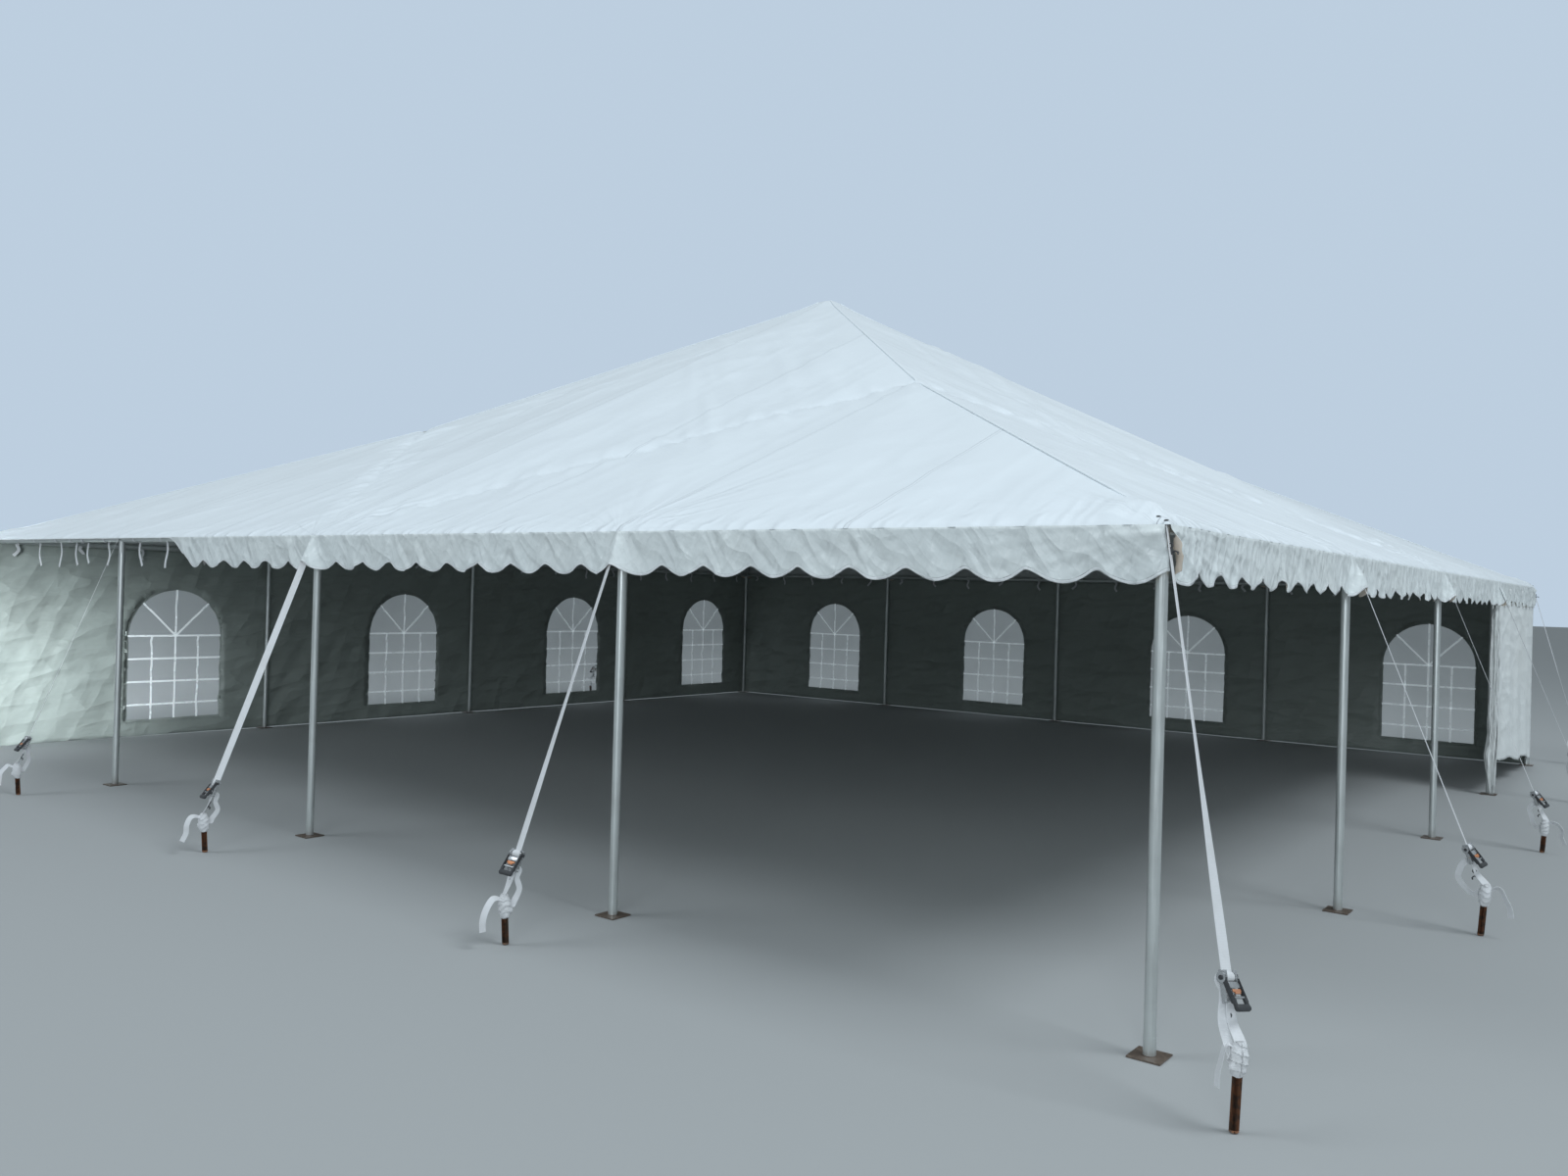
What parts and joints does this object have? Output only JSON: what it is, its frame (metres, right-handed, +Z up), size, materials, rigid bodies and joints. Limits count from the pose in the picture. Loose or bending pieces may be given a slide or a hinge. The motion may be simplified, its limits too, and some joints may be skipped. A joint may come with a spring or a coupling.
{
  "type": "marquee tent",
  "caption": "White square frame tent with a hip roof, scalloped valances, window sidewalls on two sides and ratchet strap tie-downs.",
  "frame": {"origin": "on the ground at the middle of the tent's plan", "axes": "+Z up, the open front faces -Y, the open right side faces +X"},
  "size_m": [13.7844, 13.7844, 5.0669],
  "materials": {
    "aluminium": "mill finish tube, lightly scuffed",
    "galvanised_steel": "dull galvanised",
    "canopy_vinyl": "white coated polyester, satin, wrinkled at the valance",
    "sidewall_vinyl": "white coated polyester, satin, creased",
    "window_film": "clear flexible film",
    "webbing": "woven polyester webbing"
  },
  "bodies": {
    "root": {"leg_front_left": "aluminium", "leg_front_1": "aluminium", "leg_front_2": "aluminium", "leg_front_3": "aluminium", "leg_front_right": "aluminium", "leg_right_1": "aluminium", "leg_right_2": "aluminium", "leg_right_3": "aluminium", "leg_back_right": "aluminium", "leg_back_1": "aluminium", "leg_back_2": "aluminium", "leg_back_3": "aluminium", "leg_back_left": "aluminium", "leg_left_1": "aluminium", "leg_left_2": "aluminium", "leg_left_3": "aluminium", "eave_rail_front": "aluminium", "eave_rail_right": "aluminium", "eave_rail_back": "aluminium", "eave_rail_left": "aluminium", "hip_rafter_front_left": "aluminium", "hip_rafter_front_right": "aluminium", "hip_rafter_back_right": "aluminium", "hip_rafter_back_left": "aluminium", "main_rafter_front": "aluminium", "main_rafter_right": "aluminium", "main_rafter_back": "aluminium", "main_rafter_left": "aluminium", "crown_fitting": "galvanised_steel", "roof_panel_front": "canopy_vinyl", "roof_panel_right": "canopy_vinyl", "roof_panel_back": "canopy_vinyl", "roof_panel_left": "canopy_vinyl", "valance_front": "canopy_vinyl", "valance_right": "canopy_vinyl", "valance_back": "canopy_vinyl", "valance_left": "canopy_vinyl", "sidewall_back": "sidewall_vinyl", "sidewall_left": "sidewall_vinyl", "return_curtain": "sidewall_vinyl", "window_film_back": "window_film", "window_film_left": "window_film", "tie_down_front_left": "webbing", "tie_down_front_1": "webbing", "tie_down_front_2": "webbing", "tie_down_front_3": "webbing", "tie_down_front_right": "webbing", "tie_down_right_1": "webbing", "tie_down_right_2": "webbing", "tie_down_right_3": "webbing", "tie_down_back_right": "webbing", "tie_down_back_1": "webbing", "tie_down_back_2": "webbing", "tie_down_back_3": "webbing", "tie_down_back_left": "webbing", "tie_down_left_1": "webbing", "tie_down_left_2": "webbing", "tie_down_left_3": "webbing"}
  },
  "joints": []
}
